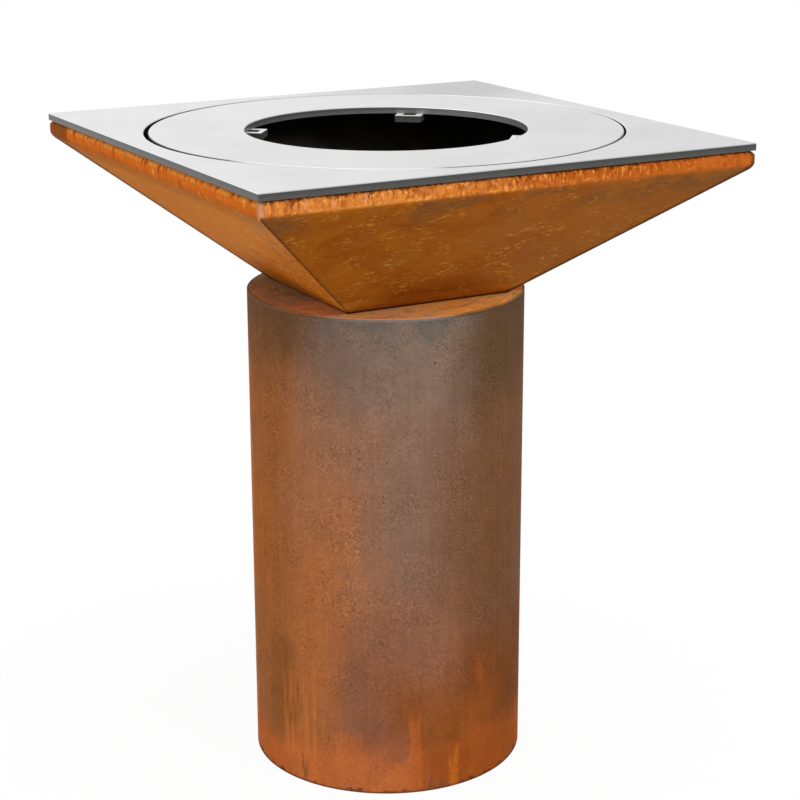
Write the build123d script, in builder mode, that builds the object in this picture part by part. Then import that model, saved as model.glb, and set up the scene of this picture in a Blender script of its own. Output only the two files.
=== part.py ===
from build123d import *

import os
from math import atan2, cos, degrees, hypot, radians, sin

# Fire pit grill: a square bowl of folded sheet on a tube pedestal, with a loose two-piece
# griddle top. Millimetres, +Z up, -Y is the front, origin on the floor under the pedestal.

# Griddle top: a square plate with a round cut-out, and a ring that lies in the cut-out
PLATE_SIDE = 750.0
PLATE_THICKNESS = 10.0
PLATE_CORNER_RADIUS = 2.0
PLATE_MARGIN = 30.0  # least width of the plate beside its cut-out
EDGE_BEVEL = 1.0
RING_CLEARANCE = 5.0  # gap round the ring when it lies in the middle
RING_LIE_X = 0.3  # where the loose ring lies in that gap, as shares of the gap
RING_LIE_Y = -0.15
FIRE_HOLE_DIAMETER = 407.0

# Slotted lugs under the edge of the fire hole, a quarter turn apart
LUG_ANGLE = 51.0  # turn of the first lug about the ring's axis, in degrees from +X
LUG_THICKNESS = 10.0
LUG_REACH = 23.0  # how far a lug stands out into the fire hole
SLOT_LENGTH = 20.0
SLOT_WIDTH = 20.0
LUG_TIP = 7.0  # steel left in front of the slot
LUG_SIDE = 10.0  # steel left on each side of the slot
LUG_TAIL = 23.0  # steel behind the slot, welded to the ring

# Angle pieces under the plate that keep it from sliding off the rim
LOCATOR_LEG = 40.0
LOCATOR_WALL = 5.0
LOCATOR_DROP = 15.0
LOCATOR_CLEARANCE = 3.0

# Bowl: four folded panels and a floor
PLATE_OVERHANG = 1.0  # how far the plate stands out past the rim
RIM_HEIGHT = 22.0
RIM_CORNER_RADIUS = 2.0
RING_SEAT = 17.0  # how far the ring laps over the flange in the middle of each side
BOWL_DEPTH = 200.0  # from the pedestal up to the fold of the rim
BOWL_BOTTOM_SIDE = 260.0
BOWL_SHEET = 3.0
WALL_FOLD_RADIUS = 15.0  # inside radius of the fold from the wall to the rim
FLANGE_FOLD_RADIUS = 7.0  # inside radius of the fold from the rim to the flange
FLOOR_THICKNESS = 4.0
DRAIN_DIAMETER = 30.0
WELD_GAP = 0.2

# Hexagon screws that hold the bowl to the pedestal
BOLT_DIAMETER = 10.0
BOLT_INSET = 45.0  # from the foot of the bowl wall to the screw
BOLT_HOLE_CLEARANCE = 1.0
BOLT_END = 3.0  # length of screw past the nut
HEAD_ACROSS_FLATS = 16.0
HEAD_HEIGHT = 6.4
NUT_HEIGHT = 8.4
THREAD_CLEARANCE = 0.2
WASHER_DIAMETER = 20.0
WASHER_THICKNESS = 2.0
WASHER_CLEARANCE = 0.5

# Pedestal: tube, top disc and base ring
PEDESTAL_HEIGHT = 723.0  # to the top of the disc
PEDESTAL_DIAMETER = 408.0
PEDESTAL_WALL = 4.0
DISC_THICKNESS = 5.0
DISC_EDGE_RADIUS = 2.0
BASE_RING_WIDTH = 50.0
BASE_RING_THICKNESS = 6.0
ANCHOR_COUNT = 4
ANCHOR_HOLE_DIAMETER = 14.0

# Heights
fold_z = PEDESTAL_HEIGHT + BOWL_DEPTH
rim_top = fold_z + RIM_HEIGHT
floor_top = PEDESTAL_HEIGHT + FLOOR_THICKNESS
disc_underside = PEDESTAL_HEIGHT - DISC_THICKNESS

# Griddle top
cutout_radius = PLATE_SIDE / 2 - PLATE_MARGIN
ring_radius = cutout_radius - RING_CLEARANCE
ring_centre = Vector(RING_CLEARANCE * RING_LIE_X, RING_CLEARANCE * RING_LIE_Y, rim_top)
fire_hole_radius = FIRE_HOLE_DIAMETER / 2

# Half widths of the square bowl, and the lean of its walls
rim_half = PLATE_SIDE / 2 - PLATE_OVERHANG
flange_half = ring_radius - RING_SEAT
bottom_half = BOWL_BOTTOM_SIDE / 2
wall_run = rim_half - bottom_half
wall_length = hypot(wall_run, BOWL_DEPTH)
wall_lean = degrees(atan2(wall_run, BOWL_DEPTH))
wall_across = BOWL_SHEET * wall_length / BOWL_DEPTH  # the sheet measured level
floor_half = bottom_half - wall_across - WELD_GAP

# Screws, from the head down to the end
bolt_spacing = BOWL_BOTTOM_SIDE - 2 * BOLT_INSET
bolt_hole_radius = (BOLT_DIAMETER + BOLT_HOLE_CLEARANCE) / 2
washer_top = floor_top + WASHER_THICKNESS
nut_underside = disc_underside - NUT_HEIGHT

# Base ring, with its anchor holes along the middle
tube_bore_radius = PEDESTAL_DIAMETER / 2 - PEDESTAL_WALL
base_inner_radius = tube_bore_radius - BASE_RING_WIDTH
anchor_radius = tube_bore_radius - BASE_RING_WIDTH / 2

# What repeats at the four sides and corners, with its turn from the +X side, in degrees
SIDES = {"right": 0, "back": 90, "left": 180, "front": 270}
CORNERS = {"back_right": 0, "back_left": 90, "front_left": 180, "front_right": 270}

os.makedirs("parts", exist_ok=True)


def write(piece, name):
    """Label a finished piece and write it to its own file."""
    piece.part.label = name
    export_step(piece.part, f"parts/{name}.step")


# Pedestal
with BuildPart() as pedestal_tube:
    with BuildSketch():
        Circle(PEDESTAL_DIAMETER / 2)
        Circle(tube_bore_radius, mode=Mode.SUBTRACT)
    extrude(amount=disc_underside)
write(pedestal_tube, "pedestal_tube")

with BuildPart() as pedestal_top_disc:
    with BuildSketch(Plane.XY.offset(disc_underside)):
        Circle(PEDESTAL_DIAMETER / 2)
    extrude(amount=DISC_THICKNESS)
    fillet(pedestal_top_disc.faces().sort_by(Axis.Z)[-1].edges(), radius=DISC_EDGE_RADIUS)
    with BuildSketch(Plane.XY.offset(PEDESTAL_HEIGHT)):
        Circle(DRAIN_DIAMETER / 2)
        with GridLocations(bolt_spacing, bolt_spacing, 2, 2):
            Circle(bolt_hole_radius)
    extrude(amount=-DISC_THICKNESS, mode=Mode.SUBTRACT)
write(pedestal_top_disc, "pedestal_top_disc")

with BuildPart() as pedestal_base_ring:
    with BuildSketch():
        Circle(tube_bore_radius - WELD_GAP)
        Circle(base_inner_radius, mode=Mode.SUBTRACT)
        with PolarLocations(anchor_radius, ANCHOR_COUNT):
            Circle(ANCHOR_HOLE_DIAMETER / 2, mode=Mode.SUBTRACT)
    extrude(amount=BASE_RING_THICKNESS)
write(pedestal_base_ring, "pedestal_base_ring")

# Bowl floor, with sloping edges that follow the walls
with BuildPart() as bowl_floor:
    with BuildSketch(Plane.XY.offset(PEDESTAL_HEIGHT)):
        Rectangle(2 * floor_half, 2 * floor_half)
    extrude(amount=FLOOR_THICKNESS, taper=-wall_lean)
    with BuildSketch(Plane.XY.offset(PEDESTAL_HEIGHT)):
        Circle(DRAIN_DIAMETER / 2)
        with GridLocations(bolt_spacing, bolt_spacing, 2, 2):
            Circle(bolt_hole_radius)
    extrude(amount=FLOOR_THICKNESS, mode=Mode.SUBTRACT)
write(bowl_floor, "bowl_floor")

# Bowl panels: one sheet each, folded up into the rim and in again to the flange.
# The profile starts below the pedestal's top, so that the foot can be cut off level.
foot_trim = 2 * BOWL_SHEET / wall_length
foot = (bottom_half - foot_trim * wall_run, PEDESTAL_HEIGHT - foot_trim * BOWL_DEPTH)
fold = (rim_half, fold_z)
rim_edge = (rim_half, rim_top)
flange_edge = (flange_half, rim_top)
outer_radii = [WALL_FOLD_RADIUS + BOWL_SHEET, FLANGE_FOLD_RADIUS + BOWL_SHEET]

for side, angle in SIDES.items():
    with BuildPart() as bowl_panel:
        with BuildSketch(Plane.XZ.rotated((0, 0, angle))):
            with BuildLine():
                FilletPolyline(foot, fold, rim_edge, flange_edge, radius=outer_radii)
                offset(amount=BOWL_SHEET, side=Side.LEFT)
            make_face()
        extrude(amount=rim_half, both=True)
        split(bisect_by=Plane.XY.offset(PEDESTAL_HEIGHT), keep=Keep.TOP)
        for mitre in (angle - 45, angle + 45):
            inwards = (cos(radians(mitre)), sin(radians(mitre)), 0)
            split(bisect_by=Plane((0, 0, 0), z_dir=inwards), keep=Keep.TOP)
        with BuildSketch(Plane.XY.offset(PEDESTAL_HEIGHT)):
            RectangleRounded(2 * rim_half, 2 * rim_half, RIM_CORNER_RADIUS)
        extrude(amount=BOWL_DEPTH + RIM_HEIGHT, mode=Mode.INTERSECT)
    write(bowl_panel, f"bowl_{side}_panel")

# Screws, washers and nuts between the bowl and the pedestal
with BuildPart() as bowl_bolts:
    with BuildSketch(Plane.XY.offset(washer_top)):
        with GridLocations(bolt_spacing, bolt_spacing, 2, 2):
            RegularPolygon(HEAD_ACROSS_FLATS / 2, 6, major_radius=False)
    extrude(amount=HEAD_HEIGHT)
    with BuildSketch(Plane.XY.offset(washer_top)):
        with GridLocations(bolt_spacing, bolt_spacing, 2, 2):
            Circle(BOLT_DIAMETER / 2)
    extrude(amount=nut_underside - BOLT_END - washer_top)
write(bowl_bolts, "bowl_bolts")

with BuildPart() as bowl_washers:
    with BuildSketch(Plane.XY.offset(floor_top)):
        with GridLocations(bolt_spacing, bolt_spacing, 2, 2):
            Circle(WASHER_DIAMETER / 2)
            Circle((BOLT_DIAMETER + WASHER_CLEARANCE) / 2, mode=Mode.SUBTRACT)
    extrude(amount=WASHER_THICKNESS)
write(bowl_washers, "bowl_washers")

with BuildPart() as bowl_nuts:
    with BuildSketch(Plane.XY.offset(disc_underside)):
        with GridLocations(bolt_spacing, bolt_spacing, 2, 2):
            RegularPolygon(HEAD_ACROSS_FLATS / 2, 6, major_radius=False)
            Circle((BOLT_DIAMETER + THREAD_CLEARANCE) / 2, mode=Mode.SUBTRACT)
    extrude(amount=-NUT_HEIGHT)
write(bowl_nuts, "bowl_nuts")

# Griddle plate and the locators under its corners
with BuildPart() as griddle_plate:
    with BuildSketch(Plane.XY.offset(rim_top)):
        RectangleRounded(PLATE_SIDE, PLATE_SIDE, PLATE_CORNER_RADIUS)
        Circle(cutout_radius, mode=Mode.SUBTRACT)
    extrude(amount=PLATE_THICKNESS)
    chamfer(griddle_plate.faces().sort_by(Axis.Z)[-1].edges(), length=EDGE_BEVEL)
write(griddle_plate, "griddle_plate")

locator_half = flange_half - LOCATOR_CLEARANCE

for corner, turn in CORNERS.items():
    with BuildPart() as plate_locator:
        with BuildSketch(Plane.XY.offset(rim_top).rotated((0, 0, turn))):
            with Locations((locator_half, locator_half)):
                Rectangle(LOCATOR_LEG, LOCATOR_WALL, align=(Align.MAX, Align.MAX))
                Rectangle(LOCATOR_WALL, LOCATOR_LEG, align=(Align.MAX, Align.MAX))
        extrude(amount=-LOCATOR_DROP)
    write(plate_locator, f"plate_locator_{corner}")

# Griddle ring and the slotted lugs under its fire hole
with BuildPart() as griddle_ring:
    with BuildSketch(Plane(ring_centre)):
        Circle(ring_radius)
        Circle(fire_hole_radius, mode=Mode.SUBTRACT)
    extrude(amount=PLATE_THICKNESS)
    chamfer(griddle_ring.faces().sort_by(Axis.Z)[-1].edges(), length=EDGE_BEVEL)
write(griddle_ring, "griddle_ring")

lug_tip_radius = fire_hole_radius - LUG_REACH
lug_length = LUG_TIP + SLOT_LENGTH + LUG_TAIL
lug_width = SLOT_WIDTH + 2 * LUG_SIDE

for corner, turn in CORNERS.items():
    with BuildPart() as grate_lug:
        with BuildSketch(Plane(ring_centre).rotated((0, 0, LUG_ANGLE + turn))):
            with Locations((lug_tip_radius, 0)):
                Rectangle(lug_length, lug_width, align=(Align.MIN, Align.CENTER))
            with Locations((lug_tip_radius + LUG_TIP, 0)):
                Rectangle(SLOT_LENGTH, SLOT_WIDTH, align=(Align.MIN, Align.CENTER), mode=Mode.SUBTRACT)
        extrude(amount=-LUG_THICKNESS)
    write(grate_lug, f"grate_lug_{corner}")
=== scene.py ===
import logging
import math
from dataclasses import dataclass, field
from enum import Enum
from typing import Dict, List, Optional, Tuple, Union

import bpy
import numpy as np
from mathutils import Matrix, Vector

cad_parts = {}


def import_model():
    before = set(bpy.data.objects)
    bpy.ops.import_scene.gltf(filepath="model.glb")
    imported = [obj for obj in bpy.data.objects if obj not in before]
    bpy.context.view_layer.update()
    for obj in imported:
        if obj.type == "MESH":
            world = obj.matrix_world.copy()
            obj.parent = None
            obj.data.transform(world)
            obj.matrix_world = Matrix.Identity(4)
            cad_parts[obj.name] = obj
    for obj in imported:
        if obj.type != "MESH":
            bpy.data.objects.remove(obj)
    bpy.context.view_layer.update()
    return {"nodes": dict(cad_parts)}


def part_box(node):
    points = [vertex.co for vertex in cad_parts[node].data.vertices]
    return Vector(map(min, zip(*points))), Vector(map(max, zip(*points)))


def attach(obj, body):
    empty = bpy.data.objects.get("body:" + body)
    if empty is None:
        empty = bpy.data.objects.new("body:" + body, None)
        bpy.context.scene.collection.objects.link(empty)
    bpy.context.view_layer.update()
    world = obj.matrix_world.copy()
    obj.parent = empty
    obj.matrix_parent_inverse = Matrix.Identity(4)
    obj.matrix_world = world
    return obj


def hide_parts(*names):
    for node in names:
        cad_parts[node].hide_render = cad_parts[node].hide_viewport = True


LOG = logging.getLogger("fire_pit_grill")

Node = bpy.types.Node
Tree = bpy.types.NodeTree
Triple = Tuple[float, float, float]
Source = Union[Node, bpy.types.NodeSocket]
Value = Union[Source, float, Tuple[float, ...]]
# one factor of a mask: a value from 0 to 1, or a soft step as (value, where it is 0, where it is 1)
Part = Union[Source, Tuple[Source, float, float]]

# where most of a fractal noise lies
NOISE_SPAN = {"From Min": 0.3, "From Max": 0.7}
# rust grain is under a millimetre wide, and is drawn this many millimetres wide so that it shows
RUST_GRAIN = 4.5
# the relief of that grain, with its depth in metres
RUST_RELIEF = {"Strength": 0.25, "Distance": 0.0008}
# heights under the floor and over the top, in metres, for a zone of colour that has no end there
BELOW = (-2.0, -1.0)
ABOVE = (2.0, 3.0)


def linear(code: str) -> Tuple[float, float, float, float]:
    """Turn an sRGB hex colour into linear light.

    Args:
        code: six hex digits, such as "c4651f".

    Returns:
        Red, green, blue and an alpha of 1.
    """
    steps = [int(code[i:i + 2], 16) / 255 for i in (0, 2, 4)]
    light = [s / 12.92 if s <= 0.04045 else ((s + 0.055) / 1.055) ** 2.4 for s in steps]
    return (light[0], light[1], light[2], 1.0)


def per_metre(feature_mm: float) -> float:
    """Scale of a pattern, in metres of Object coordinates, whose features are this many millimetres wide."""
    return 1000.0 / feature_mm


def add(tree: Tree, kind: str, inputs: Optional[Dict[Union[int, str], Value]] = None, **settings: object) -> Node:
    """Add one node, set its properties, then fill or link its sockets.

    Args:
        tree: the node tree that gets the node.
        kind: the node's type, less the words that all of them begin with.
        inputs: what goes into each socket, by name or by place among the sockets in use.
            A node stands for its first output in use.
        settings: the node's own properties.

    Returns:
        The new node.
    """
    node = tree.nodes.new("ShaderNode" + kind)
    for name, value in settings.items():
        setattr(node, name, value)
    used = [s for s in node.inputs if s.enabled]
    for key, value in (inputs or {}).items():
        socket = used[key] if isinstance(key, int) else next(s for s in used if s.name == key)
        if isinstance(value, Node):
            value = next(s for s in value.outputs if s.enabled)
        if isinstance(value, bpy.types.NodeSocket):
            tree.links.new(value, socket)
        else:
            socket.default_value = value
    return node


def new_material(name: str) -> Tuple[bpy.types.Material, Tree, bpy.types.NodeSocket]:
    """Start a material.

    Args:
        name: what the real material is called.

    Returns:
        The material, its node tree and the piece's own coordinates, in metres.
    """
    material = bpy.data.materials.new(name)
    material.use_nodes = True
    tree = material.node_tree
    tree.nodes.clear()
    return material, tree, add(tree, "TexCoord").outputs["Object"]


def mask(tree: Tree, *parts: Part) -> Source:
    """Where several conditions all hold: the product of their values.

    Args:
        tree: the node tree.
        parts: each a value from 0 to 1, or (value, low, high) for a soft step, which is 0 at low and 1 at high and
            falls where low is above high.

    Returns:
        What gives the product.
    """
    factors = [add(tree, "MapRange", {"Value": part[0], "From Min": part[1], "From Max": part[2]},
                   interpolation_type="SMOOTHSTEP") if isinstance(part, tuple) else part for part in parts]
    product = factors[0]
    for factor in factors[1:]:
        product = add(tree, "Math", {0: product, 1: factor}, operation="MULTIPLY")
    return product


class Weave(Enum):
    """How a zone of colour is filled: all over, or in upright streaks."""

    EVEN = "even"
    STREAKED = "streaked"


@dataclass(frozen=True)
class Zone:
    """A zone of colour with soft edges, round the object's upright axis.

    Its middle faces `towards` degrees from +X, and it is full up to `full` degrees from there and gone past `gone`.
    Without a direction it goes all round. It comes in between the first two heights, in metres, and goes out
    between the last two.
    """

    colour: str
    towards: Optional[float] = None
    full: float = 0.0
    gone: float = 0.0
    heights: Tuple[float, float, float, float] = (*BELOW, *ABOVE)
    share: float = 1.0
    weave: Weave = Weave.EVEN

    def parts(self, tree: Tree, place: Source, height: Source) -> List[Part]:
        """Where the zone lies: a soft step of the height at each end, and one of the angle's cosine.

        Args:
            tree: the node tree.
            place: coordinates in metres, about the upright axis.
            height: the height in metres.

        Returns:
            The parts of its mask.
        """
        low_gone, low_full, high_full, high_gone = self.heights
        parts: List[Part] = [(height, low_gone, low_full), (height, high_gone, high_full)]
        if self.towards is not None:
            a = math.radians(self.towards)
            level = add(tree, "VectorMath", {0: place, 1: (1.0, 1.0, 0.0)}, operation="MULTIPLY")
            outwards = add(tree, "VectorMath", {0: level}, operation="NORMALIZE")
            cosine = add(tree, "VectorMath", {0: outwards, 1: (math.cos(a), math.sin(a), 0.0)},
                         operation="DOT_PRODUCT").outputs["Value"]
            parts.append((cosine, math.cos(math.radians(self.gone)), math.cos(math.radians(self.full))))
        return parts


class Layers:
    """A stack of colours on one material, each laid over the last through a mask."""

    def __init__(self, tree: Tree, base: str) -> None:
        """Start from one colour."""
        self.tree = tree
        self.top: Value = linear(base)

    def over(self, colour: Union[str, "Layers"], share: float, *parts: Part) -> None:
        """Lay a colour over the stack.

        Args:
            colour: a hex colour, or another stack.
            share: how much of it covers where its mask is full.
            parts: the parts of its mask.
        """
        paint = linear(colour) if isinstance(colour, str) else colour.top
        amount = add(self.tree, "Math", {0: mask(self.tree, *parts), 1: share}, operation="MULTIPLY")
        self.top = add(self.tree, "Mix", {0: amount, 1: self.top, 2: paint}, data_type="RGBA")

    def zones(self, zones: Tuple[Zone, ...], place: Source, height: Source, *parts: Part,
              streaks: Optional[Part] = None) -> None:
        """Lay zones of colour over the stack, one after the other.

        Args:
            zones: the zones.
            place: coordinates in metres, about the upright axis.
            height: the height in metres.
            parts: what else the mask of each is made of.
            streaks: where the streaks lie that fill a streaked zone.
        """
        for zone in zones:
            own = zone.parts(self.tree, place, height)
            if zone.weave is Weave.STREAKED:
                own.append(streaks)
            self.over(zone.colour, zone.share, *parts, *own)

    def shade(self, pattern: Source, low: float, high: float) -> None:
        """Darken and lighten the stack by a noise.

        Args:
            pattern: the noise.
            low: what the colour is multiplied by where the noise is low.
            high: and where it is high.
        """
        factor = add(self.tree, "MapRange", {"Value": pattern, **NOISE_SPAN, "To Min": low, "To Max": high},
                     clamp=False)
        self.top = add(self.tree, "Mix", {0: 1.0, 1: self.top, 2: factor}, data_type="RGBA",
                       blend_type="MULTIPLY", clamp_result=True)

    def seal(self, sockets: Dict[str, Value]) -> None:
        """End the material with a shader that has the stack as its colour, and these in its other sockets."""
        shader = add(self.tree, "BsdfPrincipled", {"Base Color": self.top, **sockets})
        add(self.tree, "OutputMaterial", {"Surface": shader})


def patches(tree: Tree, place: Source, size_mm: float, low: float, high: float, detail: float = 3.0) -> Source:
    """Soft-edged patches: fractal noise, cut by a soft step.

    Args:
        tree: the node tree.
        place: the coordinates, in metres.
        size_mm: width of a patch.
        low: noise value where the patch begins.
        high: noise value where it is full.
        detail: octaves of finer noise.

    Returns:
        What gives 0 outside the patches and 1 inside.
    """
    noise = add(tree, "TexNoise", {"Vector": place, "Scale": per_metre(size_mm), "Detail": detail})
    return mask(tree, (noise, low, high))


def dots(tree: Tree, place: Source, cell_mm: float, radius_mm: float, share: float) -> Source:
    """Scattered round dots: a share of the cells of a given size each hold a ball, cut by the surface.

    Args:
        tree: the node tree.
        place: the coordinates, in metres.
        cell_mm: width of a cell.
        radius_mm: the ball's radius.
        share: how many of the cells hold a ball, from 0 to 1.

    Returns:
        What gives 1 in a dot and 0 outside.
    """
    cells = add(tree, "TexVoronoi", {"Vector": place, "Scale": per_metre(cell_mm)})
    lot = add(tree, "SeparateColor", {0: cells.outputs["Color"]}).outputs["Red"]
    drawn = add(tree, "Math", {0: lot, 1: share}, operation="LESS_THAN")
    return mask(tree, (cells.outputs["Distance"], radius_mm / cell_mm, 0.5 * radius_mm / cell_mm), drawn)


def pushed(tree: Tree, spot: Source, size_mm: float, reach: Triple, detail: float) -> Node:
    """Coordinates pushed to and fro by a noise.

    Args:
        tree: the node tree.
        spot: the coordinates, in metres.
        size_mm: width of the noise's clouds.
        reach: how far they push along each axis, in metres.
        detail: octaves of finer noise.

    Returns:
        A node that gives the pushed coordinates.
    """
    noise = add(tree, "TexNoise", {"Vector": spot, "Scale": per_metre(size_mm), "Detail": detail})
    sway = add(tree, "VectorMath", {0: noise.outputs["Color"], 1: (0.5, 0.5, 0.5)}, operation="SUBTRACT")
    return add(tree, "VectorMath", {0: sway, 1: reach, 2: spot}, operation="MULTIPLY_ADD")


def embossed(tree: Tree, place: Source, size_mm: float, shift: Triple, where: Source) -> Node:
    """How small hollows and lips show under light from one side: a shifted noise less the same noise, about 0.5.

    Args:
        tree: the node tree.
        place: the coordinates, in metres.
        size_mm: width of a hollow.
        shift: from each point towards the light, in metres.
        where: a mask, 0 where the surface is smooth and 1 where it is pitted.

    Returns:
        A node that gives more than 0.5 on the lit side of a hollow and less on the other.
    """
    moved = add(tree, "VectorMath", {0: place, 1: shift}, operation="ADD")
    here, above = (add(tree, "TexNoise", {"Vector": v, "Scale": per_metre(size_mm), "Detail": 2.0})
                   for v in (place, moved))
    slope = add(tree, "Math", {0: above, 1: here}, operation="SUBTRACT")
    return add(tree, "Math", {0: slope, 1: where, 2: 0.5}, operation="MULTIPLY_ADD")


@dataclass(frozen=True)
class TubePatina:
    """Weathering steel, rolled: brown rust, grey mill scale left high up, orange run-off at the foot, fine pits."""

    brown: str = "82604e"
    pit: str = "432c1e"
    lit_lip: str = "94704f"
    crack: str = "4c3526"
    dark_foot: str = "4e3424"
    # a pit's cell and radius in millimetres, and how many cells have one
    pitting: Triple = (4.4, 1.3, 0.40)
    zones: Tuple[Zone, ...] = (
        # round the tube: orange-brown to the left, lighter there as painted light, and darker to the right as painted
        # shade; paler and redder behind
        Zone("9f6846", -153.0, 8.0, 43.0),
        Zone("a86538", -158.0, 6.0, 34.0, (*BELOW, 0.24, 0.50)),
        Zone("965b31", 176.0, 8.0, 30.0),
        Zone("b0703e", 148.0, 8.0, 20.0),
        Zone("694730", -57.0, 12.0, 55.0),
        Zone("96603e", 100.0, 15.0, 50.0),
        Zone("7a5038", 30.0, 10.0, 45.0),
        # the lower third: redder, and dark to the right as painted shade
        Zone("86563e", -110.0, 12.0, 40.0, (*BELOW, 0.18, 0.36)),
        Zone("6c3d1c", -57.0, 15.0, 46.0, (*BELOW, 0.15, 0.28)),
        Zone("86491e", -92.0, 12.0, 32.0, (*BELOW, 0.12, 0.21), 0.9),
        Zone("865229", -169.0, 3.0, 13.0, (0.06, 0.11, 0.21, 0.26), 0.85),
        # the top: heated brown all round, darker to the right as painted shade, grey scale in front
        Zone("68492f", heights=(0.56, 0.72, *ABOVE)),
        Zone("533d29", -60.0, 18.0, 42.0, (0.54, 0.64, *ABOVE), 0.9),
        Zone("7a685c", -118.0, 2.0, 46.0, (0.44, 0.71, *ABOVE), 0.9),
        Zone("545552", -112.0, 14.0, 40.0, (0.69, 0.72, *ABOVE), 0.7),
        # painted light and shade: paler in the middle, darker far right, and a more orange painted highlight far left
        Zone("7a6152", -116.0, 0.0, 22.0, (0.32, 0.42, 0.50, 0.58), 0.45),
        Zone("664428", -63.0, 5.0, 14.0, (0.22, 0.30, 0.46, 0.52), 0.6),
        Zone("a45c28", 175.0, 4.0, 14.0, (0.26, 0.32, 0.42, 0.50), 0.6),
        # the foot: orange run-off, deeper to the right, where it also carries painted shade
        Zone("a6582a", heights=(*BELOW, 0.02, 0.10), share=0.9),
        Zone("ba6838", -140.0, 16.0, 36.0, (*BELOW, 0.02, 0.10), 0.9),
        Zone("8e4819", -64.0, 26.0, 50.0, (*BELOW, 0.03, 0.11), 0.95),
        Zone("8c5438", -117.0, 2.0, 10.0, (0.02, 0.04, 0.08, 0.11), 0.75),
        Zone("b8622c", 177.0, 12.0, 26.0, (*BELOW, 0.02, 0.07), 0.75),
    )
    # the upright weld at the back, with the tint that its heat left
    seam: Tuple[Zone, ...] = (
        Zone("6b4a3a", 75.0, 3.0, 8.0, share=0.45),
        Zone("9a6a48", 75.0, 1.6, 2.4, share=0.5),
        Zone("54382a", 75.0, 1.0, 1.3, share=0.7),
    )
    run_offs: Tuple[Zone, ...] = (
        Zone("bc6c34", -157.0, 7.0, 12.0, (0.03, 0.06, 0.13, 0.20), 0.85, Weave.STREAKED),
        Zone("a5653f", -146.5, 1.0, 2.5, (0.09, 0.12, 0.14, 0.17), 0.7),
        Zone("b05c2c", -107.0, 1.2, 3.2, (*BELOW, 0.10, 0.13), 0.7),
        Zone("96491d", -77.0, 1.0, 2.6, (0.13, 0.17, 0.18, 0.20), 0.6),
        Zone("b8641c", -89.7, 1.0, 3.0, (*BELOW, 0.035, 0.06), 0.7),
        Zone("98501e", -79.5, 1.5, 4.0, (*BELOW, 0.06, 0.10), 0.6),
        Zone("6e4a38", -97.0, 3.0, 8.0, (*BELOW, 0.000, 0.02), 0.5),
        Zone("c86a34", -150.0, 1.5, 3.5, (*BELOW, 0.03, 0.05), 0.6),
        Zone("4c3420", -155.8, 0.5, 2.2, (0.008, 0.018, 0.026, 0.038), 0.5),
        Zone("b4622e", 20.0, 6.0, 12.0, (*BELOW, 0.16, 0.24), 0.7, Weave.STREAKED),
        Zone("ac5e30", 78.0, 8.0, 15.0, (*BELOW, 0.11, 0.20), 0.7, Weave.STREAKED),
        Zone("b86636", 130.0, 3.0, 8.0, (*BELOW, 0.18, 0.25), 0.7, Weave.STREAKED),
        Zone("9a5226", -30.0, 3.0, 9.0, (*BELOW, 0.12, 0.18), 0.7, Weave.STREAKED),
    )

    def material(self) -> bpy.types.Material:
        """Build the finish.

        Returns:
            The material.
        """
        material, tree, spot = new_material("weathering_steel_rolled")
        z = add(tree, "SeparateXYZ", {0: spot}).outputs["Z"]
        drawn = add(tree, "Mapping", {"Vector": spot, "Scale": (1.0, 1.0, 0.06)})
        strands = add(tree, "TexNoise", {"Vector": drawn, "Scale": per_metre(8), "Detail": 4.0})
        broad = pushed(tree, spot, 90, (0.06, 0.06, 0.14), 6.0)
        broad_z = add(tree, "SeparateXYZ", {0: broad}).outputs["Z"]
        fine = pushed(tree, spot, 12, (0.010, 0.010, 0.016), 3.0)
        # run-offs end in tongues, where the strands raise and lower the height
        flame = add(tree, "Math", {0: strands, 1: 0.5}, operation="SUBTRACT")
        flame = add(tree, "Math", {0: flame, 1: 0.10, 2: z}, operation="MULTIPLY_ADD")
        layers = Layers(tree, self.brown)
        layers.zones(self.zones, broad, broad_z)
        layers.zones(self.seam, spot, z)
        layers.zones(self.run_offs, fine, flame, streaks=(strands, 0.42, 0.58))

        # pits, each with a painted highlight on a lip above it, most of them filled by run-off near the foot
        open_pits = add(tree, "MapRange", {"Value": z, "From Min": 0.06, "From Max": 0.22, "To Min": 0.3},
                        interpolation_type="SMOOTHSTEP")
        crowd = mask(tree, open_pits, patches(tree, spot, 55, 0.34, 0.62))
        pits = mask(tree, dots(tree, fine, *self.pitting), crowd)
        raised = add(tree, "VectorMath", {0: fine, 1: (0.0, 0.0, 0.0020)}, operation="ADD")
        layers.over(self.lit_lip, 0.35, dots(tree, raised, *self.pitting), crowd)
        layers.over(self.pit, 0.7, pits)
        # thin wandering cracks: the middle of a drawn noise's range
        bend = pushed(tree, spot, 25, (0.02, 0.02, 0.0), 3.0)
        pulled = add(tree, "Mapping", {"Vector": bend, "Scale": (1.0, 1.0, 0.25)})
        veins = add(tree, "TexNoise", {"Vector": pulled, "Scale": per_metre(26), "Detail": 3.0})
        off = add(tree, "Math", {0: veins, 1: 0.5}, operation="SUBTRACT")
        off = add(tree, "Math", {0: off}, operation="ABSOLUTE")
        layers.over(self.crack, 0.35, (off, 0.010, 0.002), patches(tree, spot, 55, 0.54, 0.66, 2.0))
        # a darker ragged band along the edge that stands on the floor
        foot_band = add(tree, "Math", {0: patches(tree, fine, 16, 0.46, 0.62), 1: -0.005, 2: z}, operation="MULTIPLY_ADD")
        layers.over(self.dark_foot, 0.75, (foot_band, 0.0045, 0.0010))

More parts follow.
